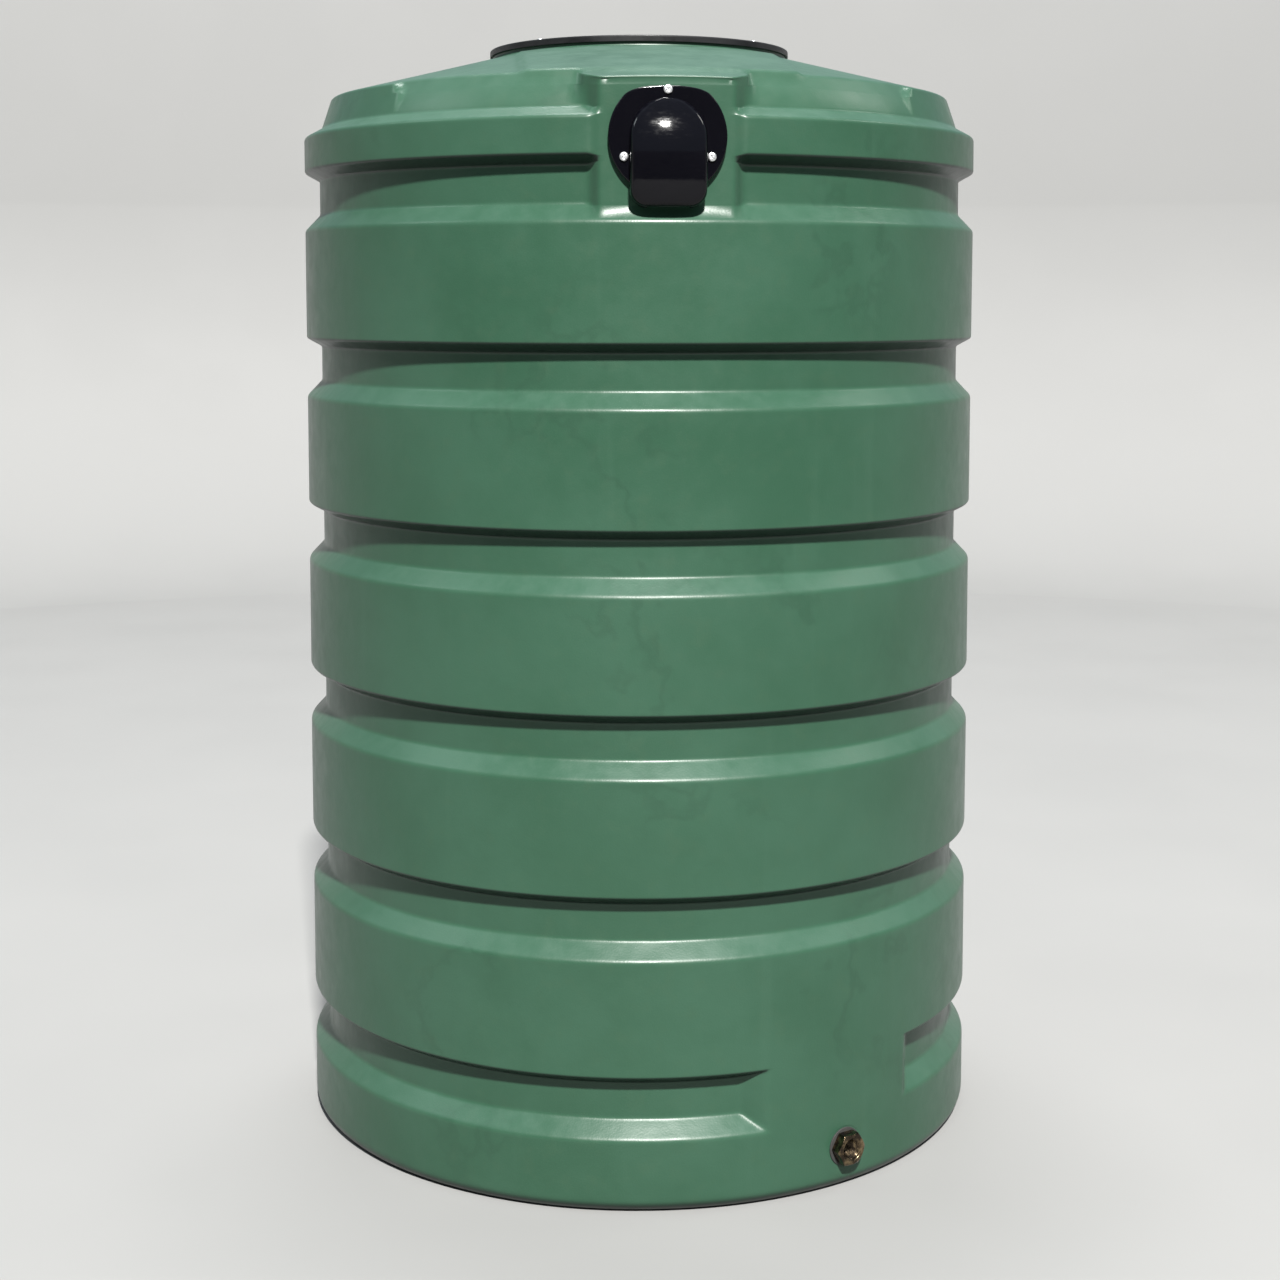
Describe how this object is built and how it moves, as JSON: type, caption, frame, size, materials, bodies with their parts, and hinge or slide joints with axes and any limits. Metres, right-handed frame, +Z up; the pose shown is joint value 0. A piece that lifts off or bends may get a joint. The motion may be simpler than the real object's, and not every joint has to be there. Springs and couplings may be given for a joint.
{
  "type": "vertical water storage tank",
  "caption": "Round one-piece moulded rainwater tank with grooved wall, conical roof, basket strainer, overflow hood and threaded outlet.",
  "frame": {"origin": "centre of the floor's underside, on the ground", "axes": "+Z up along the tank's axis, -Y towards the overflow, outlet 30 degrees from it towards +X"},
  "size_m": [0.9139, 0.936, 1.4469],
  "materials": {
    "tank_plastic": "satin",
    "strainer_plastic": "satin",
    "overflow_plastic": "gloss",
    "gasket_rubber": "matte",
    "mesh": "woven",
    "screw_steel": "bright",
    "brass": "machined"
  },
  "bodies": {
    "root": {"tank_floor": "tank_plastic", "wall_overflow_segment": "tank_plastic", "wall_outlet_segment": "tank_plastic", "wall_segment_03": "tank_plastic", "wall_segment_04": "tank_plastic", "wall_segment_05": "tank_plastic", "wall_segment_06": "tank_plastic", "wall_segment_07": "tank_plastic", "wall_segment_08": "tank_plastic", "wall_segment_09": "tank_plastic", "wall_segment_10": "tank_plastic", "wall_segment_11": "tank_plastic", "wall_segment_12": "tank_plastic", "roof": "tank_plastic", "strainer_basket": "strainer_plastic", "strainer_grid": "strainer_plastic", "strainer_mesh": "mesh", "strainer_screws": "screw_steel", "overflow_gasket": "gasket_rubber", "overflow_flange": "overflow_plastic", "overflow_screen": "mesh", "overflow_hood": "overflow_plastic", "overflow_screws": "screw_steel", "outlet_washer": "gasket_rubber", "outlet_bush": "brass", "outlet_nut": "brass"}
  },
  "joints": []
}
